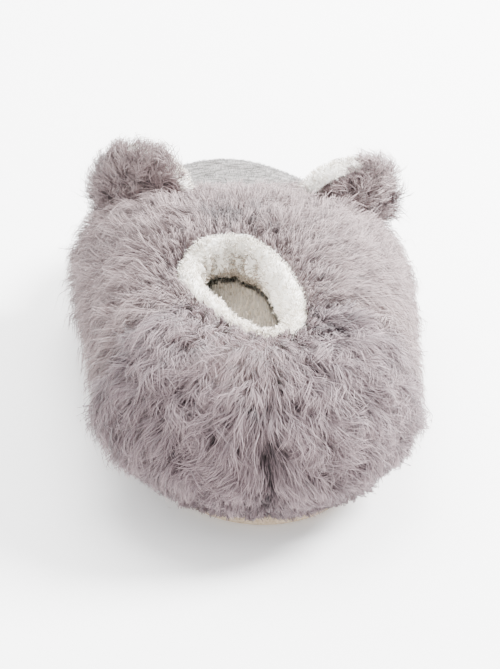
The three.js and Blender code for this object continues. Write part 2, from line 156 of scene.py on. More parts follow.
# A ring's point moved outwards, seen from above
def grown(ring, at, step, grow):
    ahead = unit(ring(at + step) - ring(at - step))
    out = np.stack([ahead[..., 1], -ahead[..., 0]], -1)
    return ring(at) + out * np.asarray(grow)[..., None]


def grownOutline(turn, grow):
    return grown(outline, turn, probe["outline"], grow)


def springAt(y):
    start = last["springStart"]
    share = np.clip((y / last["soleLength"] - start) / (1 - start), 0, 1.2)
    return last["toeSpring"] * share * share


def featherHeight(y):
    return last["soleThickness"] + last["seat"] + springAt(y)


def crownHeight(y):
    at = np.clip(y / last["soleLength"], 0, 1)
    heights = sum(smoothColumn(n, at) * last[n + "Height"] for n in ("heel", "instep", "toe"))
    return heights + springAt(y)


def towardsEnd(turn, side, heel, toe, power):
    facing = np.cos(2 * math.pi * turn)
    end = np.where(facing > 0, heel, toe)
    return side + (end - side) * np.abs(facing) ** power


def swell(turn):
    return towardsEnd(turn, last["sideSwell"], last["heelSwell"], last["toeSwell"], 2)


def squareness(turn):
    ends = (last["sideSquareness"], last["heelSquareness"], last["toeSquareness"])
    return towardsEnd(turn, *ends, last["endReach"])


hub = np.array([collar["offset"], last["hubShare"] * last["soleLength"]])


# A point of the wall: rise goes from 0 at the sole to 1 at the hub, and grow is outwards
def skin(turn, rise, grow=0.0):
    turn, rise, grow = np.broadcast_arrays(turn, rise, grow)
    angle = math.pi / 2 * rise ** last["ringCrowding"]
    power = 2 / squareness(turn)
    spread = np.clip(np.cos(angle), 0, None) ** power
    height = np.sin(angle) ** power
    rim = grownOutline(turn, swell(turn) + grow)
    foot = grownOutline(turn, grow - last["featherInset"])
    tuck = (np.clip(1 - height / last["tuckHeight"], 0, None) ** 2)[..., None]
    plan = hub + (rim + (foot - rim) * tuck - hub) * spread[..., None]
    base = featherHeight(plan[..., 1])
    z = base + (crownHeight(plan[..., 1]) + grow - base) * height
    return np.concatenate([plan, z[..., None]], -1)


def skinFrame(turn, rise):
    around = skin(turn + probe["around"], rise) - skin(turn - probe["around"], rise)
    above = np.minimum(rise + probe["up"], 1)
    below = np.maximum(rise - probe["up"], 0)
    up = skin(turn, above) - skin(turn, below)
    normal = unit(np.cross(around, up))
    down = unit(-up)
    return normal, down, unit(np.cross(normal, down))


def collarOval(angle):
    cosine, sine = np.cos(angle), np.sin(angle)
    power = 2 / collar["squareness"]
    bent = [np.sign(v) * np.abs(v) ** power for v in (cosine, sine)]
    x = bent[0] * (1 + collar["taper"] * sine) * collar["width"] / 2
    y = bent[1] * collar["length"] / 2
    c, s = math.cos(collar["turn"]), math.sin(collar["turn"])
    middleY = collar["back"] + collar["length"] / 2
    return np.stack([x * c - y * s + collar["offset"], x * s + y * c + middleY], -1)


def fromHub(points):
    away = points[..., :2] - hub
    return np.arctan2(away[..., 1], away[..., 0]), np.linalg.norm(away, axis=-1)


collarAngles, collarReach = fromHub(collarOval(np.linspace(0, 2 * math.pi, 361)))
collarAngles = np.unwrap(collarAngles)


# How far a point is outside the collar, seen from above
def pastCollar(points):
    angle, away = fromHub(points)
    return away - np.interp(angle, collarAngles[:-1], collarReach[:-1], period=2 * math.pi)


bearingTurns = np.linspace(0, 1, 720, endpoint=False)
bearingAngles, bearingReach = fromHub(grownOutline(bearingTurns, swell(bearingTurns)))


# The wall's height over a point seen from above
def heightOver(point):
    angle, away = fromHub(point)
    reach = np.interp(angle, bearingAngles, bearingReach, period=2 * math.pi)
    power = np.interp(angle, bearingAngles, squareness(bearingTurns), period=2 * math.pi)
    spread = np.clip(away / reach, 0, 1)
    base = featherHeight(point[..., 1])
    return base + (crownHeight(point[..., 1]) - base) * (1 - spread**power) ** (1 / power)


# How far a point is in front of the slanting seam between the fur and the toe
def aheadOfSeam(points):
    drop = crownHeight(np.array(panel["start"])) - points[..., 2]
    return points[..., 1] - panel["start"] - drop * math.tan(panel["slant"])


# The origin is the middle of the slipper's box, so the last is shifted to meet the sole
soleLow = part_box("outsole")[0]
innerX = outline(np.linspace(0, 1, 400))[:, 0].min()
shift = np.array([soleLow.x / millimetre - innerX, soleLow.y / millimetre, 0.0])


# Smooth noise between -1 and 1, with lumps of the given size
def softNoise(points, size, seed):
    table = np.random.default_rng(seed).uniform(-1, 1, (32, 32, 32))
    scaled = points / size
    cell = np.floor(scaled).astype(int)
    part = scaled - cell
    part = part * part * (3 - 2 * part)
    total = np.zeros(points.shape[:-1])
    for corner in np.ndindex(2, 2, 2):
        weight = np.prod(np.where(corner, part, 1 - part), axis=-1)
        index = (cell + corner) % 32
        total += weight * table[index[..., 0], index[..., 1], index[..., 2]]
    return total


# Round nubs between 0 and 1, like the curls of fleece
def fleeceNubs(points, size, seed):
    jitter = np.random.default_rng(seed).uniform(0, 1, (16, 16, 16, 3))
    scaled = points / size
    cell = np.floor(scaled).astype(int)
    nearest = np.full(points.shape[:-1], 9.0)
    for offset in np.ndindex(3, 3, 3):
        index = cell + np.array(offset) - 1
        wrapped = index % 16
        seeds = index + jitter[wrapped[..., 0], wrapped[..., 1], wrapped[..., 2]]
        nearest = np.minimum(nearest, np.linalg.norm(scaled - seeds, axis=-1))
    return np.sqrt(np.clip(1 - nearest**2, 0, 1))


def smoothstep(low, high, value):
    t = np.clip((value - low) / (high - low), 0, 1)
    return t * t * (3 - 2 * t)


# Goes from a low share up to 1 over a reach
def rising(low, reach, value):
    return low + (1 - low) * smoothstep(*reach, value)


triangles = []


# Makes a mesh of points on the last, with faces of three or four corners
def makePiece(name, points, faceSets, material, uv=None):
    mesh = bpy.data.meshes.new(name)
    placed = ((points.reshape(-1, 3) + shift) * millimetre).astype(np.float32)
    mesh.vertices.add(len(placed))
    mesh.vertices.foreach_set("co", placed.ravel())
    loops = np.concatenate([faces.ravel() for faces in faceSets]).astype(np.int32)
    counts = np.concatenate([np.full(len(f), f.shape[1]) for f in faceSets])
    starts = np.concatenate([[0], np.cumsum(counts)[:-1]]).astype(np.int32)
    mesh.loops.add(len(loops))
    mesh.loops.foreach_set("vertex_index", loops)
    mesh.polygons.add(len(counts))
    mesh.polygons.foreach_set("loop_start", starts)
    mesh.polygons.foreach_set("use_smooth", np.ones(len(counts), bool))
    if uv is not None:
        layer = mesh.uv_layers.new(name="OFBake")
        layer.data.foreach_set("uv", uv[loops].astype(np.float32).ravel())
    mesh.update(calc_edges=True)
    mesh.validate()
    mesh.materials.append(material)
    piece = bpy.data.objects.new(name, mesh)
    bpy.context.scene.collection.objects.link(piece)
    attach(piece, "root")
    triangles.append((name, int((counts - 2).sum())))
    return piece


# Faces of a grid of rows and columns of points, closed around its columns if asked
def gridFaces(rows, columns, closed):
    r = np.arange(rows - 1)[:, None]
    c = np.arange(columns if closed else columns - 1)[None, :]
    after = (c + 1) % columns
    corners = [r * columns + c, r * columns + after, (r + 1) * columns + after]
    corners.append((r + 1) * columns + c)
    return np.stack(corners, -1).reshape(-1, 4)


def gridNormals(grid, closed):
    if closed:
        around = np.roll(grid, -1, 1) - np.roll(grid, 1, 1)
    else:
        around = np.gradient(grid, axis=1)
    return unit(np.cross(around, np.gradient(grid, axis=0)))


# Materials
def hexColour(value):
    channels = [int(value[i : i + 2], 16) / 255 for i in (1, 3, 5)]
    linear = [c / 12.92 if c <= 0.04045 else ((c + 0.055) / 1.055) ** 2.4 for c in channels]
    return (*linear, 1.0)


def addNode(tree, kind, inputs=None, **settings):
    node = tree.nodes.new(kind)
    for name, value in settings.items():
        setattr(node, name, value)
    for name, value in (inputs or {}).items():
        if isinstance(value, bpy.types.NodeSocket):
            tree.links.new(value, node.inputs[name])
        else:
            node.inputs[name].default_value = value
    return node


def startMaterial(name, surface):
    material = bpy.data.materials.new(name)
    material.use_nodes = True
    tree = material.node_tree
    shader = tree.nodes["Principled BSDF"]
    for socket, value in surface.items():
        shader.inputs[socket].default_value = value
    return material, tree, shader


def colourRamp(tree, factor, stops):
    ramp = addNode(tree, "ShaderNodeValToRGB", {"Fac": factor})
    while len(ramp.color_ramp.elements) < len(stops):
        ramp.color_ramp.elements.new(0.5)
    for element, (place, colour) in zip(ramp.color_ramp.elements, stops):
        element.position = place
        element.color = hexColour(colour)
    return ramp.outputs["Color"]


# Acrylic plush pile, brushed: soft satin hairs, dark at the root and bleached at the tip
def furHairs(name, stops, tones, sheen=0.25):
    surface = {"Roughness": 0.62, "IOR": 1.5, "Sheen Weight": sheen, "Sheen Roughness": 0.5}
    material, tree, shader = startMaterial(name, surface)
    place = addNode(tree, "ShaderNodeUVMap", uv_map="OFBake")
    parts = addNode(tree, "ShaderNodeSeparateXYZ", {"Vector": place.outputs["UV"]})
    alongHair = colourRamp(tree, parts.outputs["Y"], stops)
    tone = colourRamp(tree, parts.outputs["X"], tones)
    inputs = {0: 1.0, 6: alongHair, 7: tone}  # factor and the two colours
    mixed = addNode(tree, "ShaderNodeMix", inputs, data_type="RGBA", blend_type="MULTIPLY")
    tree.links.new(mixed.outputs[2], shader.inputs["Base Color"])
    return material


# Knitted or felted ground: colour from noise of a real size, and a fine bump
def clothGround(name, surface, fibre, colours, bump, stretch=(1, 1, 1)):
    material, tree, shader = startMaterial(name, surface)
    place = addNode(tree, "ShaderNodeTexCoord").outputs["Object"]
    mapped = addNode(tree, "ShaderNodeMapping", {"Vector": place, "Scale": stretch})
    scale = 1 / (fibre * millimetre)
    inputs = {"Vector": mapped.outputs["Vector"], "Scale": scale, "Detail": 3.0}
    noise = addNode(tree, "ShaderNodeTexNoise", inputs)
    colour = colourRamp(tree, noise.outputs["Fac"], colours)
    tree.links.new(colour, shader.inputs["Base Color"])
    relief = {"Height": noise.outputs["Fac"], "Distance": bump * millimetre, "Strength": 0.6}
    bumped = addNode(tree, "ShaderNodeBump", relief)
    tree.links.new(bumped.outputs["Normal"], shader.inputs["Normal"])
    return material


# Plush: the knitted ground under the pile, seen only in the gaps
plushGround = clothGround(
    "acrylic plush, knitted ground",
    {"Roughness": 0.9, "Sheen Weight": 0.1},
    1.2,
    [(0.3, "#736669"), (0.7, "#887b7e")],
    0.3,
)
# Sherpa fleece: matt off-white curls, with painted shade: a little darker and warmer in the
# hollows of its bump
sherpaGround = clothGround(
    "polyester sherpa fleece, curled",
    {"Roughness": 0.85, "Sheen Weight": 0.35, "Sheen Roughness": 0.5},
    0.9,
    [(0.25, "#e6e1d8"), (0.6, "#f4f2ed")],
    0.35,
)
# Brushed jersey: pale grey with darker fibres knitted in, and a raised soft face. Its
# flecks are drawn 1.5 mm long, coarser than the yarn, so that they show.
jerseyCloth = clothGround(
    "cotton jersey, heather, brushed",
    {"Roughness": 0.95},
    1.5,
    [(0.38, "#35312f"), (0.48, "#625f5d"), (0.62, "#858280")],
    0.12,
    (0.35, 1, 1),
)
# Both plush tones reach their dark end mostly where painted shade darkens the hairs
vampFur = furHairs(
    "acrylic plush, long pile, brushed smooth",
    [(0.0, "#6c5e5f"), (0.35, "#857778"), (0.75, "#a09292"), (1.0, "#baacaa")],
    [(0.0, "#62565a"), (0.2, "#aca0a1"), (0.5, "#d9cecd"), (1.0, "#f6eeec")],
)
# Matted heel pile, darker partly in its own colour and partly as painted shade
heelFur = furHairs(
    "acrylic plush, long pile, matted, with painted shade",
    [(0.0, "#54474a"), (0.35, "#685a5e"), (0.7, "#807276"), (1.0, "#b1a2a3")],
    [(0.0, "#5e5257"), (0.2, "#aa9da0"), (0.5, "#d6cacb"), (1.0, "#f9f0ef")],
)
# The curls' darkest tones are mostly painted shade, at the front of the collar
sherpaHairs = furHairs(
    "polyester sherpa fleece, curl ends",
    [(0.0, "#ece7de"), (0.6, "#f7f5f1"), (1.0, "#fdfcfa")],
    [(0.0, "#9c9084"), (0.28, "#eae5dd"), (1.0, "#ffffff")],
)
jerseyNap = furHairs(
    "cotton jersey, raised nap",
    [(0.0, "#5f5c5a"), (1.0, "#7b7978")],
    [(0.0, "#5b5756"), (0.45, "#d6d4d3"), (1.0, "#ffffff")],
    sheen=0.0,
)

# Strands. A coat's lift and run are how far a hair's tip stands out and lies over, its
# locks and tufts are the spacing of the clumps that the hairs gather in, and its swings
# are how far the comb turns over the cloth, from lock to lock and from hair to hair. Its
# curve turns a hair aside on its way, and its curl bends the tip back to the cloth. Single
# fibres are too fine to show, so each blade is as wide as a wisp of them.
vampCoat = {
    "segments": 3, "lift": 7.4, "run": 9.6, "lock": 6.0, "tuft": 1.9, "lockPull": 0.22,
    "tuftPull": 0.6, "swing": 0.65, "lockSwing": 0.3, "tuftSwing": 0.35, "hairSwing": 0.3,
    "wave": 1.2, "curve": 0.8, "curl": 2.0, "width": 0.28, "droop": 0.5,
}
heelCoat = {
    "segments": 4, "lift": 7.6, "run": 11.5, "lock": 6.0, "tuft": 2.2, "lockPull": 0.2,
    "tuftPull": 0.7, "swing": 0.8, "lockSwing": 0.32, "tuftSwing": 0.42, "hairSwing": 0.2,
    "wave": 1.4, "curve": 1.5, "curl": 2.15, "width": 0.28, "droop": 0.6,
}
# The ears' fur is the vamp's, clipped shorter and tighter
earCoat = {
    **vampCoat, "lift": 4.8, "run": 7.5, "lock": 4.0, "tuft": 1.7, "lockPull": 0.28,
    "swing": 0.5, "curve": 1.4, "curl": 2.2, "droop": 2.0,
}
curlCoat = {
    "segments": 2, "lift": 1.5, "run": 1.3, "lock": 2.4, "tuft": 1.2, "lockPull": 0.3,
    "tuftPull": 0.3, "swing": 3.0, "lockSwing": 1.5, "tuftSwing": 0.3, "hairSwing": 1.0,
    "wave": 0.3, "curve": 0.0, "curl": 1.95, "width": 0.34, "droop": 0.0,
}
napCoat = {
    **curlCoat, "lift": 0.7, "run": 1.6, "lock": 4.0, "lockPull": 0.1, "tuftPull": 0.2,
    "swing": 0.6, "lockSwing": 0.3, "tuftSwing": 0.2, "hairSwing": 0.5, "wave": 0.1,
    "curve": 0.3, "width": 0.18,
}
# What all coats share: slow turns of the comb every 24 mm, hairs that stand as their lock
# does, a few strays that leave it, and hairs that hang straighter near the floor
habit = {
    "drift": 24.0, "lockFacing": 0.8, "hairFacing": 0.12, "strayAbove": 0.993,
    "straySize": 1.3, "strayPull": 0.2, "hem": [8.0, 36.0], "hemRun": 0.15, "reach": 1.3,
    "floor": 2.5, "taper": 0.45, "twist": 0.9, "uvHalf": 0.004,
}


# The clump that each point gathers in, with the clump's own root and hair
def clumpsOf(points, spacing, draws):
    order = draws.permutation(len(points))
    cells = np.floor(points[order] / spacing).astype(int)
    seeds = order[np.unique(cells, axis=0, return_index=True)[1]]
    tree = KDTree(len(seeds))
    for index, seed in enumerate(seeds):
        tree.insert(points[seed], index)
    tree.balance()
    nearest = np.array([tree.find(point)[1] for point in points])
    return nearest, points[seeds][nearest], seeds[nearest]


# The paths of the hairs of a coat, as points from root to tip, and each hair's tone. Push
# turns the comb, painted shade darkens the tone, and less calm or lean is tidier or stands
# up straighter.
def combHairs(coat, seed, roots, axes, share, push=0.0, shade=0.0, calm=1.0, lean=1.0):
    normals, downs, arounds = axes
    draws = np.random.default_rng(seed)
    count = len(roots)
    lock, lockRoot, lockHair = clumpsOf(roots, coat["lock"], draws)
    tuft, tuftRoot, _ = clumpsOf(roots, coat["tuft"], draws)
    perLock = draws.uniform(-1, 1, (lock.max() + 1, 5))[lock]
    perTuft = draws.uniform(-1, 1, (tuft.max() + 1, 5))[tuft]
    perHair = draws.uniform(-1, 1, (count, 5))
    turn = coat["swing"] * softNoise(roots, habit["drift"], seed + 1)
    turn += coat["lockSwing"] * perLock[:, 0] + coat["tuftSwing"] * perTuft[:, 0]
    turn = turn * calm + coat["hairSwing"] * perHair[:, 0] + push
    comb = np.cos(turn)[:, None] * downs + np.sin(turn)[:, None] * arounds
    curve = coat["curve"] * (0.7 * perLock[:, 3] + 0.5 * perTuft[:, 3] + 0.15 * perHair[:, 2])
    curve = curve * calm
    facing = habit["lockFacing"] * normals[lockHair] + habit["hairFacing"] * perHair[:, 1:4]
    normal = unit(normals + facing)
    stray = draws.uniform(0, 1, count) > habit["strayAbove"]
    size = share * (1 + 0.12 * perLock[:, 1] + 0.16 * perTuft[:, 1] + 0.16 * perHair[:, 1])
    size *= np.where(stray, habit["straySize"], 1.0)
    lift = coat["lift"] * size * (1 + 0.15 * perLock[:, 2] + 0.1 * perHair[:, 2])
    nearHem = rising(habit["hemRun"], habit["hem"], roots[:, 2])
    run = coat["run"] * size * (1 + 0.12 * perLock[:, 3]) * nearHem * lean
    loose = np.where(stray, habit["strayPull"], 1.0)[:, None]
    toLock = (lockRoot - roots) * coat["lockPull"] * loose
    toTuft = (tuftRoot - roots) * coat["tuftPull"] * loose
    across = unit(np.cross(normal, comb))
    paths = []
    along = np.zeros_like(roots)
    before = 0.0
    for k in range(coat["segments"] + 1):
        t = k / coat["segments"]
        bearing = turn + curve * t
        ahead = np.cos(bearing)[:, None] * downs + np.sin(bearing)[:, None] * arounds
        reached = t ** habit["reach"]
        along = along + ahead * (run * (reached - before))[:, None]
        before = reached
        point = roots + normal * (lift * math.sin(coat["curl"] * t))[:, None] + along
        point = point + toLock * t + toTuft * (t * (1 - 0.3 * t))
        phase = perTuft[:, 4] * math.pi + perLock[:, 4] * 2 + perHair[:, 4] * 0.5
        bend = coat["wave"] * size * t * np.sin(5.0 * t + phase * 2)
        point = point + across * bend[:, None]
        point = point + normal * (0.5 * coat["wave"] * t * np.cos(4.0 * t + phase * 3))[:, None]
        point[:, 2] -= coat["droop"] * t * t * nearHem
        paths.append(point)
    tone = 0.5 + 0.14 * perLock[:, 2] + 0.24 * perTuft[:, 2] + 0.2 * perHair[:, 3] - shade
    twist = perHair[:, 4] * habit["twist"]
    return np.stack(paths, 1), np.clip(tone, 0.02, 0.98), normal, twist


# Makes each hair a narrow blade that tapers to a point. Its UVs hold its tone across and
# the place along it upwards, which the material colours it by.
def growHairs(name, coat, material, slot, *roots, **comb):
    paths, tone, normal, twist = combHairs(coat, *roots, **comb)
    count, levels, _ = paths.shape
    paths[..., 2] = np.maximum(paths[..., 2], habit["floor"])
    ahead = unit(np.gradient(paths, axis=1))
    flat = unit(np.cross(ahead, normal[:, None, :]))
    upright = np.cross(ahead, flat)
    side = flat * np.cos(twist)[:, None, None] + upright * np.sin(twist)[:, None, None]
    points = []
    coordinates = []
    for k in range(levels - 1):
        t = k / (levels - 1)
        half = side[:, k] * coat["width"] / 2 * (1 - habit["taper"] * t)
        points += [paths[:, k] - half, paths[:, k] + half]
        for edge in (-habit["uvHalf"], habit["uvHalf"]):
            coordinates.append(np.stack([tone + edge, np.full(count, t)], -1))
    points.append(paths[:, -1])
    coordinates.append(np.stack([tone, np.ones(count)], -1))
    points = np.stack(points, 1)
    coordinates = np.stack(coordinates, 1)
    perHair = points.shape[1]
    first = np.arange(count)[:, None, None] * perHair
    steps = np.arange(levels - 2)[None, :, None] * 2
    quads = (first + steps + np.array([0, 1, 3, 2])).reshape(-1, 4)
    tips = (first + np.array([perHair - 3, perHair - 2, perHair - 1])).reshape(-1, 3)
    makePiece(name, points, [quads, tips], material, coordinates.reshape(-1, 2))


# Roots spread evenly over a patch of the last, kept where the mask says
patch = {"turns": 360, "rises": 160, "top": 0.996, "step": 0.001}


def scatterRoots(count, mask, seed, grow):
    draws = np.random.default_rng(seed)
    turns = (np.arange(patch["turns"]) + 0.5) / patch["turns"]
    rises = (np.arange(patch["rises"]) + 0.5) / patch["rises"] * patch["top"]
    turnGrid, riseGrid = np.meshgrid(turns, rises, indexing="ij")
    half = 0.5 / patch["turns"]
    step = patch["step"]
    a = skin(turnGrid + half, riseGrid) - skin(turnGrid - half, riseGrid)
    b = skin(turnGrid, riseGrid + step) - skin(turnGrid, riseGrid - step)
    area = np.linalg.norm(np.cross(a, b), axis=-1)
    weight = area * mask(skin(turnGrid, riseGrid, grow))
    weight = weight.ravel() / weight.sum()
    cells = draws.choice(len(weight), count, p=weight)
    jitter = draws.uniform(-0.5, 0.5, (2, count))
    turn = turnGrid.ravel()[cells] + jitter[0] / patch["turns"]
    rise = riseGrid.ravel()[cells] + jitter[1] / patch["rises"] * patch["top"]
    return turn, np.clip(rise, step, 1 - step)


# The seams show as partings in the pile. The side seams run back and down from the
# collar, the heel seam runs up the middle of the back, and a soft parting lies across the
# instep in front of the collar. At these partings the hairs are also darkened with painted
# shade.
seams = {
    "sideAtCollar": 52.0, "sideSlope": 0.62, "sideWidth": 3.2, "sideDepth": 0.6,
    "collarHalf": 20.0, "blend": 6.0, "heelX": 0.0, "heelWidth": 1.8, "heelDepth": 0.52,
    "heelAlong": [24.0, 14.0], "heelUp": [50.0, 38.0], "parting": [-5.0, 121.0],
    "partingSize": [10.0, 7.0],
}


def partingAt(points):
    dx = (points[..., 0] - seams["parting"][0]) / seams["partingSize"][0]
    dy = (points[..., 1] - seams["parting"][1]) / seams["partingSize"][1]
    return np.exp(-(dx**2) - dy**2)


def sideSeam(x):
    fromCollar = np.clip(np.abs(x - collar["offset"]) - seams["collarHalf"], 0, None)
    return seams["sideAtCollar"] - fromCollar * seams["sideSlope"], fromCollar


def seamGap(points):
    x, y, z = np.moveaxis(points, -1, 0)
    seamY, fromCollar = sideSeam(x)
    side = np.exp(-(((y - seamY) / seams["sideWidth"]) ** 2))
    side = side * smoothstep(0, seams["blend"], fromCollar)
    heel = np.exp(-(((x - seams["heelX"]) / seams["heelWidth"]) ** 2))
    heel = heel * smoothstep(*seams["heelAlong"], y) * smoothstep(*seams["heelUp"], z)
    return seams["sideDepth"] * side + seams["heelDepth"] * heel


def heelward(points):
    seamY, _ = sideSeam(points[..., 0])
    return smoothstep(seamY + seams["blend"], seamY - seams["blend"], points[..., 1])


# The pile: shorter at the collar, the toe seam and the hem, and fuller on the inner side
pile = {
    "ground": 3.2, "rootDepth": 1.2, "rootLow": 0.4, "hemFade": [6.0, 14.0], "hem": 7.0,
    "underCuff": -2.4, "pastSeam": 0.5, "atCollar": 0.55, "collarReach": [-2.0, 12.0],
    "atSeam": 0.75, "seamReach": [0.0, -16.0], "atHem": 0.31, "overHem": 0.73,
    "hemReach": [5.0, 38.0], "fuller": 0.28, "fullerAcross": [-20.0, -50.0],
    "fullerUp": [12.0, 40.0], "thinParting": 0.2,
}


def furMask(points):
    clear = pastCollar(points) > pile["underCuff"]
    behind = aheadOfSeam(points) < pile["pastSeam"]
    return (clear & behind & (points[..., 2] > pile["hem"])) * 1.0


def pileShare(points):
    x, _, z = np.moveaxis(points, -1, 0)
    atCollar = rising(pile["atCollar"], pile["collarReach"], pastCollar(points))
    atSeam = rising(pile["atSeam"], pile["seamReach"], aheadOfSeam(points))
    atHem = pile["atHem"] + pile["overHem"] * smoothstep(*pile["hemReach"], z)
    inner = smoothstep(*pile["fullerAcross"], x) * smoothstep(*pile["fullerUp"], z)
    thin = 1 - seamGap(points) - pile["thinParting"] * partingAt(points)
    return atCollar * atSeam * atHem * (1 + pile["fuller"] * inner) * thin


# The heel's hairs are combed away from the middle seam, more to the outer side
upperFur = {
    "vampHairs": 30000, "vampSeed": 40, "heelHairs": 24000, "heelSeed": 65,
    "partOuter": 0.7, "partInner": 0.45, "partWidth": 6.0, "partAlong": [40.0, 10.0],
    "calmWidth": 8.0, "calmDepth": 0.7, "seamPaintedShade": 0.7, "partingPaintedShade": 0.75,
    "leanAtCollar": 0.25, "leanReach": [-2.5, 9.0],
}


def dressUpper(name, coat, count, side, heel, seed):
    def mask(points):
        onSide = points[..., 0] * side > 0
        share = heelward(points) if heel else 1 - heelward(points)
        return furMask(points) * onSide * share

    turn, rise = scatterRoots(count, mask, seed, pile["ground"])
    fromHem = smoothstep(*pile["hemFade"], skin(turn, rise, 1.0)[:, 2])
    depth = pile["rootLow"] + (pile["ground"] - pile["rootDepth"]) * fromHem
    roots = skin(turn, rise, depth)
    axes = skinFrame(turn, rise)
    fromSeam = roots[:, 0] - seams["heelX"]
    atBack = smoothstep(*upperFur["partAlong"], roots[:, 1])
    away = np.tanh(fromSeam / upperFur["partWidth"])
    part = away * np.where(away > 0, upperFur["partOuter"], upperFur["partInner"]) * atBack
    beside = np.exp(-((fromSeam / upperFur["calmWidth"]) ** 2)) * atBack
    calm = 1 - upperFur["calmDepth"] * beside
    # Painted shade: hairs are darkened along the seams and the parting
    shade = upperFur["seamPaintedShade"] * seamGap(roots)
    shade = shade + upperFur["partingPaintedShade"] * partingAt(roots)
    lean = rising(upperFur["leanAtCollar"], upperFur["leanReach"], pastCollar(roots))
    combed = {"push": part, "shade": shade, "calm": calm, "lean": lean}
    fur = heelFur if heel else vampFur
    growHairs(name, coat, fur, "fur", seed, roots, axes, pileShare(roots), **combed)


for side, label in ((-1, "Inner"), (1, "Outer")):
    vampSeed, heelSeed = upperFur["vampSeed"] + side, upperFur["heelSeed"] + side
    dressUpper("furVamp" + label, vampCoat, upperFur["vampHairs"], side, False, vampSeed)
    dressUpper("furHeel" + label, heelCoat, upperFur["heelHairs"], side, True, heelSeed)
print("fur of the upper grown")


# The rise at which each line up the wall meets the collar's edge
def riseAtCollar(turn, inset):
    low = np.full(turn.shape, 0.3)
    high = np.full(turn.shape, 1.0)
    for _ in range(30):
        middle = (low + high) / 2
        outside = pastCollar(skin(turn, middle)) > inset
        low = np.where(outside, middle, low)
        high = np.where(outside, high, middle)
    return low


# The wall's knitted ground and the fleece lining inside it
shell = {
    "top": -1.5, "groundGrid": [80, 200], "lumpSize": 9.0, "lumpHeight": 0.8,
    "seamDip": 2.0, "toeFade": [2.0, -3.0], "atEdge": 0.4, "edgeFade": [-1.5, 5.0],
    "liningGrid": [56, 150], "liningNub": 3.0, "liningDepth": 0.9,
}


def makeShell(name, grow, size, material, inward, relief):
    turn = np.arange(size[1]) / size[1]
    top = riseAtCollar(turn, shell["top"])
    rise = np.linspace(0, 1, size[0])[:, None] * top[None, :]
    turnGrid = np.broadcast_to(turn[None, :], rise.shape)
    grid = skin(turnGrid, rise, grow)
    grid = grid + gridNormals(grid, True) * relief(grid)[..., None]
    faces = gridFaces(*size, True)
    if inward:
        faces = faces[:, ::-1]
    return makePiece(name, grid, [faces], material)


def groundRelief(points):
    under = smoothstep(*shell["toeFade"], aheadOfSeam(points))
    lumps = shell["lumpHeight"] * softNoise(points, shell["lumpSize"], 5)
    deep = pile["ground"] + lumps - shell["seamDip"] * seamGap(points)
    fromEdge = rising(shell["atEdge"], shell["edgeFade"], pastCollar(points))
    return under * deep * fromEdge * smoothstep(*pile["hemFade"], points[..., 2])


def liningRelief(points):
    return -shell["liningDepth"] * fleeceNubs(points, shell["liningNub"], 6)


size = shell["groundGrid"]
ground = makeShell("plushGround", 0.0, size, plushGround, False, groundRelief)
size = shell["liningGrid"]
makeShell("fleeceLining", -last["wall"], size, sherpaGround, True, liningRelief)
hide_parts("upper")
print("wall and lining made")


# The rolled collar: a tube on the collar's edge, with pleats across its front. Slim is the
# room left for the curls, off the tube's width and height.
cuff = {
    "around": 300, "ring": 44, "slim": [1.6, 1.7], "rise": 0.8, "nub": 4.6,
    "nubHeight": 2.0, "lumpSize": 8.0, "lumpHeight": 1.5, "pleats": 9, "pleatDepth": 1.3,
    "thinBack": 0.3, "curls": 12000, "curlSeed": 71,
}


def makeCuff():
    angle = np.linspace(0, 2 * math.pi, cuff["around"], endpoint=False)
    edge = collarOval(angle)
    inset = collar["cuffWidth"] / 2 + last["seat"]
    middle = grown(collarOval, angle, probe["collar"], -inset)
    z = heightOver(edge) - collar["cuffSink"]
    path = np.concatenate([middle, z[:, None]], -1)
    ahead = np.roll(path, -1, 0) - np.roll(path, 1, 0)
    out = unit(np.stack([ahead[:, 1], -ahead[:, 0], np.zeros(len(ahead))], -1))
    bearing = np.linspace(0, 2 * math.pi, cuff["ring"], endpoint=False)
    width = (collar["cuffWidth"] / 2 - cuff["slim"][0]) * np.cos(bearing)
    thinner = 1 - cuff["thinBack"] * smoothstep(-0.2, -0.8, np.sin(angle))
    height = (collar["cuffHeight"] / 2 - cuff["slim"][1]) * np.sin(bearing) + cuff["rise"]
    up = np.array([0, 0, 1.0])
    # Rows run round the tube's section and columns run along the collar
    sideways = out[None] * (width[:, None] * thinner[None, :])[..., None]
    grid = path[None] + sideways + up * height[:, None, None]
    grid = np.concatenate([grid, grid[:1]])
    normals = unit(grid - path[None])
    front = smoothstep(0.2, 0.9, np.sin(angle))
    pleat = np.sin(cuff["pleats"] * 2 * angle) * cuff["pleatDepth"] * front
    lumps = cuff["nubHeight"] * fleeceNubs(grid, cuff["nub"], 8)
    lumps = lumps + cuff["lumpHeight"] * softNoise(grid, cuff["lumpSize"], 9) - 0.6
    lumps = lumps + pleat[None, :] * smoothstep(0.9, 0.5, np.abs(normals[..., 2]))
    grid = grid + normals * lumps[..., None]
    shown = grid[:-1]
    faces = gridFaces(len(grid), len(path), True) % (len(shown) * len(path))
    piece = makePiece("cuffFleece", shown, [faces], sherpaGround)
    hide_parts("collar_cuff")
    return shown, normals[:-1]


cuffGrid, cuffNormals = makeCuff()


# The axes of hairs that lie any way on the cloth
def anyWay(normal, draws):
    down = unit(np.cross(normal, draws.normal(size=normal.shape)))
    return normal, down, np.cross(normal, down)


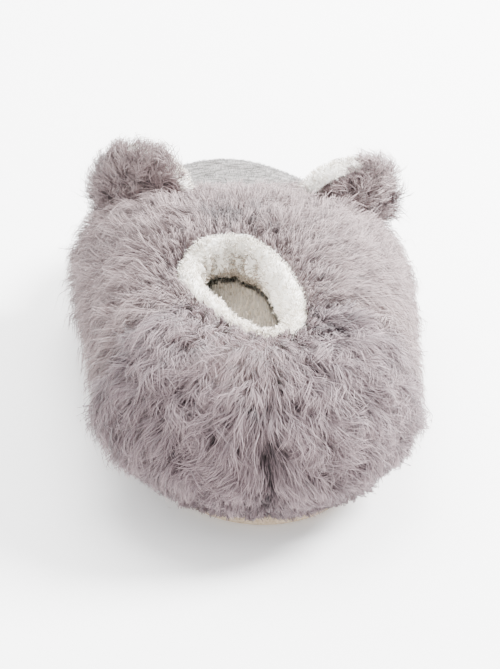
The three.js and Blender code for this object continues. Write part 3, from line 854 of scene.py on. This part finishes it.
# Curls scattered over a grid of points, darkened with painted shade where a shading function is
# given
def curlsOver(name, grid, normals, count, seed, shadeAt=None):
    draws = np.random.default_rng(seed)
    rows, columns, _ = grid.shape
    r = draws.integers(0, rows - 1, count)
    c = draws.integers(0, columns - 1, count)
    mix = draws.uniform(0, 1, (2, count, 1))
    near = grid[r, c] * (1 - mix[0]) + grid[r + 1, c] * mix[0]
    far = grid[r, c + 1] * (1 - mix[0]) + grid[r + 1, c + 1] * mix[0]
    roots = near * (1 - mix[1]) + far * mix[1] - normals[r, c] * 0.2
    axes = anyWay(normals[r, c], draws)
    shade = 0.0 if shadeAt is None else shadeAt(roots, axes[0])
    share = np.ones(count)
    growHairs(name, curlCoat, sherpaHairs, "fleece", seed, roots, axes, share, shade=shade)


# Painted shade: the curls are greyer where the front of the collar turns down into the shoe
def frontPaintedShade(roots, normal):
    ahead = smoothstep(74, 92, roots[:, 1])
    inward = smoothstep(0.25, -0.4, normal[:, 1])
    return ahead * smoothstep(0.95, 0.4, normal[:, 2]) * inward


curlsOver("cuffCurls", cuffGrid, cuffNormals, cuff["curls"], cuff["curlSeed"], frontPaintedShade)
print("collar made")


# The footbed: a fleece cushion that fills the sole of the upper from wall to wall. Spare is
# the room left for the curls.
footbed = {
    "rows": 46, "columns": 220, "edge": -0.6, "foot": -6.0, "spare": 1.0, "nub": 5.0,
    "nubHeight": 3.2, "nubSeed": 12, "curls": 7000, "curlSeed": 72, "curlSize": 1.7,
    "curlsAcross": [-32.0, 26.0], "curlsAlong": [84.0, 200.0],
}


def footbedNubs(points):
    return footbed["nubHeight"] * fleeceNubs(points, footbed["nub"], footbed["nubSeed"])


def makeFootbed():
    turn = np.arange(footbed["columns"]) / footbed["columns"]
    edge = grownOutline(turn, footbed["edge"])
    feather = featherHeight(edge[:, 1])
    middle = np.stack([np.full(len(turn), collar["offset"] * 0.3), edge[:, 1]], -1)
    rows = [np.column_stack([grownOutline(turn, footbed["foot"]), feather + 0.3])]
    for share in np.linspace(0, 1, footbed["rows"]) ** 1.4:
        plan = edge + (middle - edge) * share
        rounding = np.sqrt(np.clip(1 - (1 - np.minimum(share * 14, 1)) ** 2, 0, 1))
        lift = (last["insoleThickness"] - footbed["spare"]) * (0.45 + 0.55 * rounding)
        rows.append(np.column_stack([plan, feather + lift]))
    grid = np.stack(rows)
    grid[2:, :, 2] += footbedNubs(grid[2:])
    faces = gridFaces(len(grid), len(turn), True)
    piece = makePiece("footbedFleece", grid, [faces], sherpaGround)
    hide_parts("insole")


makeFootbed()


# Curls of the footbed, over the part that can be seen through the opening
def curlFootbed():
    count, seed = footbed["curls"], footbed["curlSeed"]
    draws = np.random.default_rng(seed)
    x = draws.uniform(*footbed["curlsAcross"], count)
    y = draws.uniform(*footbed["curlsAlong"], count)
    z = featherHeight(y) + last["insoleThickness"] - footbed["spare"]
    roots = np.stack([x, y, z], -1)
    roots[:, 2] += footbedNubs(roots) - 0.2
    axes = anyWay(np.tile([0.0, 0.0, 1.0], (count, 1)), draws)
    share = np.full(count, footbed["curlSize"])
    growHairs("footbedCurls", curlCoat, sherpaHairs, "fleece", seed, roots, axes, share)


curlFootbed()
print("footbed made")


# The toe: brushed heather jersey, softly padded, with a crease in its nap over the top. Pad
# and knit are the spacing and height of its lumps.
toe = {
    "rows": 84, "columns": 210, "turnSpan": 0.62, "topRise": 0.93, "tuckBehind": 6.0,
    "tuckDepth": 3.4, "crease": [5.0, 190.0], "creaseSlant": 0.35,
    "creaseSize": [1.6, 11.0], "creaseDepth": 0.9, "pad": [22.0, 0.5], "knit": [3.5, 0.12],
    "nap": 11000, "napSeed": 81,
}


def toeRelief(points):
    dx = points[..., 0] - toe["crease"][0]
    dy = points[..., 1] - toe["crease"][1]
    line = dx + toe["creaseSlant"] * dy + 1.5 * np.sin(dy / 5)
    wide, long = toe["creaseSize"]
    crease = np.exp(-((line / wide) ** 2)) * np.exp(-((dy / long) ** 2))
    tuck = smoothstep(-1, -toe["tuckBehind"], aheadOfSeam(points))
    soft = toe["pad"][1] * softNoise(points, toe["pad"][0], 15)
    soft = soft + toe["knit"][1] * softNoise(points, toe["knit"][0], 16)
    return soft - toe["creaseDepth"] * crease - toe["tuckDepth"] * tuck


def makeToe():
    turn = 0.5 + (np.linspace(0, 1, toe["columns"]) - 0.5) * toe["turnSpan"]
    rise = np.linspace(0.0, toe["topRise"], toe["rows"]) ** 0.85
    grow = last["seat"] + panel["thickness"] - 0.3
    turnGrid, riseGrid = np.meshgrid(turn, rise)
    grid = skin(turnGrid, riseGrid, grow)
    grid = grid + gridNormals(grid, False) * toeRelief(grid)[..., None]
    faces = gridFaces(*grid.shape[:2], False)
    flat = grid.reshape(-1, 3)
    ahead = aheadOfSeam(flat) > -toe["tuckBehind"] - 1
    kept = faces[ahead[faces].all(axis=1)]
    used, index = np.unique(kept, return_inverse=True)
    piece = makePiece("toeJersey", flat[used], [index.reshape(-1, 4)], jerseyCloth)
    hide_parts("face_panel")


def napMask(points):
    return (aheadOfSeam(points) > -1.0) * (points[..., 2] > 9) * 1.0


def growNap():
    grow = last["seat"] + panel["thickness"]
    seed = toe["napSeed"]
    turn, rise = scatterRoots(toe["nap"], napMask, seed, grow)
    roots = skin(turn, rise, grow - 0.4)
    axes = skinFrame(turn, rise)
    roots = roots + axes[0] * toeRelief(roots)[:, None]
    share = np.ones(len(roots))
    growHairs("toeNap", napCoat, jerseyNap, "jersey", seed + 1, roots, axes, share)


makeToe()
growNap()
print("toe made")

# The ears: a plush back and a fleece front, sewn together round their rim. The fleece is
# rounded back over it by the rim's turn.
ear = {
    "width": 34.0, "height": 31.0, "back": 8.0, "front": 9.0, "start": 171.0,
    "spread": 79.0, "rows": 28, "columns": 72, "nub": 3.4, "nubHeight": 1.5,
    "rimTurn": -0.26, "fleeceSpare": 3.0, "furSpare": -0.2, "hairs": 8500, "curls": 3500,
    "seed": 90,
}
# Facing and up are the way each ear stands on the last, bare and full are the parts of its
# rim with less and more fur (across and up), and nudge is how far it leans off its seam
earPoses = {
    "Left": {
        "side": -1, "facing": [0.5, 0.85, 0.15], "up": [-0.2, -0.05, 0.95],
        "bare": [0.93, 0.0, -0.37], "full": [-0.75, 0.0, -0.65], "nudge": [4.0, 0.0, -1.0],
    },
    "Right": {
        "side": 1, "facing": [-0.4, 0.8, 0.4], "up": [0.28, -0.35, 0.85],
        "bare": [-0.75, 0.0, 0.66], "full": [1.0, 0.0, -0.1], "nudge": [-3.5, 0.0, -1.0],
    },
}


def placeEar(pose):
    seam = np.array([pose["side"] * ear["spread"] / 2, ear["start"]])
    front = unit(np.array(pose["facing"]))
    across = unit(np.cross(front, pose["up"]))
    up = np.cross(across, front)
    foot = np.append(seam, heightOver(seam))
    middle = foot + up * (ear["height"] / 2 - last["wall"]) + np.array(pose["nudge"])
    return middle, np.stack([across, front, up])


# Half of an ear's cushion, from its rim to its middle, and rows that close it inside
def halfPad(depth, seed, nub):
    turn = np.linspace(0, 2 * math.pi, ear["columns"], endpoint=False)[None, :]
    rim = ear["rimTurn"] if nub else 0
    rise = np.linspace(rim, 0.998, ear["rows"])[:, None] * math.pi / 2
    deep = np.sign(depth)
    spare = ear["fleeceSpare"] if nub else ear["furSpare"]
    x = np.cos(turn) * np.cos(rise) * (ear["width"] / 2 + spare)
    z = np.sin(turn) * np.cos(rise) * (ear["height"] / 2 + spare) * deep * -1
    y = np.broadcast_to(np.sin(rise) * (abs(depth) - 0.8) * deep + 0.15 * deep, x.shape)
    grid = np.stack([x, y, z], -1)
    normals = unit(grid / np.array([ear["width"] / 2, abs(depth), ear["height"] / 2]) ** 2)
    if nub:
        grid = grid + normals * (fleeceNubs(grid, nub, seed) * ear["nubHeight"])[..., None]
    flat = grid[:1] * np.array([1, 0, 1])
    closing = np.concatenate([flat * share for share in (0.02, 0.5, 0.96)])
    closing[..., 1] = y[0, 0]
    return grid, normals, closing


def makeEar(label, pose, seed):
    middle, axes = placeEar(pose)
    for depth, part in ((-ear["back"], "Back"), (ear["front"], "Front")):
        nub = ear["nub"] if part == "Front" else 0
        grid, normals, closing = halfPad(depth, seed, nub)
        placed = grid @ axes + middle
        turned = normals @ axes
        material = sherpaGround if nub else plushGround
        whole = np.concatenate([closing @ axes + middle, placed])
        faces = gridFaces(*whole.shape[:2], True)
        name = "ear" + label + part
        piece = makePiece(name, whole, [faces], material)
        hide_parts("ear_" + label.lower() + "_" + part.lower())
        if nub:
            curlsOver(name + "Curls", placed, turned, ear["curls"], seed + 3)
        else:
            growEarFur(name + "Fur", pose, grid, normals, seed)


def growEarFur(name, pose, grid, normals, seed):
    middle, axes = placeEar(pose)
    draws = np.random.default_rng(seed)
    count = ear["hairs"]
    r = np.floor((1 - np.sqrt(draws.uniform(0, 1, count))) * len(grid)).astype(int)
    c = draws.integers(0, grid.shape[1], count)
    roots = (grid[r, c] + draws.normal(0, 0.5, (count, 3))) @ axes + middle
    normal = normals[r, c] @ axes
    outward = unit(normals[r, c] * np.array([1, 0, 1]) + np.array([0, 0, 0.35])) @ axes
    down = unit(outward - normal * np.sum(outward * normal, 1, keepdims=True))
    along = (normal, down, np.cross(normal, down))
    rimward = unit(grid[r, c] * np.array([1, 0, 1]))
    nearRim = smoothstep(0.65, 0.2, r / len(grid))
    share = 1.2 - 0.7 * smoothstep(0.6, 0.98, rimward @ np.array(pose["bare"])) * nearRim
    share += 0.4 * smoothstep(0.2, 0.9, rimward @ np.array(pose["full"])) * nearRim
    growHairs(name, earCoat, vampFur, "fur", seed, roots, along, share)


for index, (label, pose) in enumerate(earPoses.items()):
    makeEar(label, pose, ear["seed"] + 7 * index)
print("ears made")

# The sole: tan woven cloth over thin foam, with staggered rows of raised grip dots
sole = {
    "columns": 200, "edgeRadius": 1.6, "archRise": 1.2, "dotHeight": 0.7, "dotSize": 3.0,
    "dotStep": 8.0, "dotSides": 10, "rowShare": 0.86, "margin": 1.0,
}
soleCloth = clothGround(
    "polyester canvas, woven",
    {"Roughness": 0.8, "Sheen Weight": 0.1},
    0.8,
    [(0.35, "#b39c82"), (0.65, "#d3bfa6")],
    0.25,
)
gripRubber = clothGround(
    "PVC, printed grip dots",
    {"Roughness": 0.5, "IOR": 1.54},
    2.0,
    [(0.4, "#c58a45"), (0.6, "#d39a55")],
    0.05,
)


def underside(y):
    waist = np.clip(1 - np.abs(y / last["soleLength"] - 0.42) / 0.16, 0, 1)
    return springAt(y) + sole["archRise"] * waist * waist * (3 - 2 * waist)


def makeSole():
    turn = np.arange(sole["columns"]) / sole["columns"]
    radius = sole["edgeRadius"]
    rows = []
    middle = outline(turn)
    for share in np.linspace(0, 1, 26)[::-1]:
        plan = grownOutline(turn, -radius)
        inner = np.stack([np.zeros(len(turn)), plan[:, 1]], -1)
        plan = plan + (inner - plan) * share
        rows.append(np.column_stack([plan, underside(plan[:, 1]) + sole["dotHeight"]]))
    for bearing in np.linspace(0.2, 1, 6) * math.pi / 2:
        plan = grownOutline(turn, -radius * (1 - math.sin(bearing)))
        low = underside(plan[:, 1]) + sole["dotHeight"]
        rows.append(np.column_stack([plan, low + (radius - 0.4) * (1 - math.cos(bearing))]))
    top = springAt(middle[:, 1]) + last["soleThickness"]
    for drop, inset in ((0.8, 0), (0.2, 0.2), (0.0, 0.8), (0.0, 4.0), (0.0, 20.0)):
        rows.append(np.column_stack([grownOutline(turn, -inset), top - drop]))
    grid = np.stack(rows)
    faces = gridFaces(len(grid), len(turn), True)
    piece = makePiece("soleCloth", grid, [faces], soleCloth)
    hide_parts("outsole")


def dotFits(x, y, edge):
    away = np.hypot(*(edge - [x, y]).T).min()
    across = solePoint(np.array(y / last["soleLength"]), math.copysign(1, x))[0]
    return abs(x) < abs(across) and away > sole["dotSize"] / 2 + sole["margin"]


def makeDots():
    step = sole["dotStep"]
    sides = sole["dotSides"]
    edge = outline(np.arange(sole["columns"]) / sole["columns"])
    angle = np.linspace(0, 2 * math.pi, sides, endpoint=False)
    rings = []
    faces = []
    for row, y in enumerate(np.arange(8, last["soleLength"] - 6, step * sole["rowShare"])):
        for x in np.arange(-56, 56, step) + (row % 2) * step / 2:
            if not dotFits(x, y, edge):
                continue
            faces.append(gridFaces(4, sides, True)[:, ::-1] + len(rings) * sides)
            base = float(underside(np.array(y)))
            for radius, lift in ((1.0, 0.9), (0.9, 0.35), (0.6, 0.08), (0.15, 0.0)):
                ringX = x + np.cos(angle) * radius * sole["dotSize"] / 2
                ringY = y + np.sin(angle) * radius * sole["dotSize"] / 2
                z = np.full(sides, base + lift * sole["dotHeight"] + 0.02)
                rings.append(np.column_stack([ringX, ringY, z]))
    points = np.concatenate(rings)
    makePiece("gripDots", points, [np.concatenate(faces)], gripRubber)


makeSole()
makeDots()
print("sole made")

# The studio, in metres: a seamless pale sweep in a bright white surround, a key light from
# the right, a broad light from above and a narrow warm beam into the opening. The sweep's
# bend is where it starts, and its radius.
studio = {
    "sweep": "#f9f9f9", "sweepGlow": 0.22, "sweepFront": -6.0, "sweepBend": [0.6, 0.8],
    "sweepTop": [1.4, 3.0], "surround": "#ffffff", "surroundStrength": 2.15,
}
softbox = {"shape": "DISK", "size": 0.8}
overhead = {"shape": "DISK", "size": 1.8}
narrowBeam = {"spot_size": math.radians(1), "spot_blend": 1.0, "shadow_soft_size": 0.02}
lamps = [
    ("keyLight", "AREA", softbox, (1.3, 0.35, 1.1), (0, 0, 0.03), 190, "#ffffff"),
    ("topLight", "AREA", overhead, (0.0, 0.9, 1.8), (0, 0, 0.03), 95, "#ffffff"),
    ("openingLight", "SPOT", narrowBeam, (-0.075, -1.5, 0.728), (-0.0029, -0.064, 0.05), 490,
     "#fff2e2"),
]


def makeSweep():
    across = np.linspace(-3, 3, 3)
    start, radius = studio["sweepBend"]
    profile = [(studio["sweepFront"], 0.0), (start, 0.0)]
    for angle in np.linspace(0.1, 1.5, 12):
        profile.append((start + math.sin(angle) * radius, radius - math.cos(angle) * radius))
    profile.append(tuple(studio["sweepTop"]))
    vertices = [(x, y, z) for y, z in profile for x in across]
    mesh = bpy.data.meshes.new("sweep")
    mesh.from_pydata(vertices, [], gridFaces(len(profile), 3, False).tolist())
    mesh.polygons.foreach_set("use_smooth", np.ones(len(mesh.polygons), bool))
    tint, glow = hexColour(studio["sweep"]), studio["sweepGlow"]
    surface = {"Roughness": 0.95, "Base Color": tint}
    surface.update({"Emission Color": tint, "Emission Strength": glow})
    mesh.materials.append(startMaterial("matt studio paper", surface)[0])
    sweep = bpy.data.objects.new("sweep", mesh)
    bpy.context.scene.collection.objects.link(sweep)


def addLamp(name, kind, form, place, aim, watts, colour):
    data = bpy.data.lights.new(name, kind)
    for setting, value in form.items():
        setattr(data, setting, value)
    data.energy = watts
    data.color = hexColour(colour)[:3]
    lamp = bpy.data.objects.new(name, data)
    lamp.location = place
    lamp.rotation_euler = (Vector(aim) - Vector(place)).to_track_quat("-Z", "Y").to_euler()
    bpy.context.scene.collection.objects.link(lamp)


makeSweep()
for lamp in lamps:
    addLamp(*lamp)
world = bpy.data.worlds.new("studio")
world.use_nodes = True
background = world.node_tree.nodes["Background"]
background.inputs["Color"].default_value = hexColour(studio["surround"])
background.inputs["Strength"].default_value = studio["surroundStrength"]
bpy.context.scene.world = world

# The camera stands behind the heel and looks down on it
view = {
    "lift": math.radians(25), "swing": math.radians(-2.84), "distance": 0.7,
    "focalPixels": 1925, "longSide": 669, "sensor": 36.0,
    "target": (-0.0008, 0.0785, 0.035),
}
cameraData = bpy.data.cameras.new("camera")
cameraData.sensor_fit = "VERTICAL"
cameraData.sensor_height = view["sensor"]
cameraData.lens = view["focalPixels"] / view["longSide"] * view["sensor"]
camera = bpy.data.objects.new("camera", cameraData)
target = Vector(view["target"]) + Vector(shift.tolist()) * millimetre
cosine = math.cos(view["lift"])
back = Vector((math.sin(view["swing"]) * cosine, -math.cos(view["swing"]) * cosine, 0))
back.z = math.sin(view["lift"])
camera.location = target + back * view["distance"]
camera.rotation_euler = (-back).to_track_quat("-Z", "Y").to_euler()
bpy.context.scene.collection.objects.link(camera)
bpy.context.scene.camera = camera
print("studio ready")

for name, count in triangles:
    print("triangles", name, count)
print("triangles in all", sum(count for _, count in triangles))
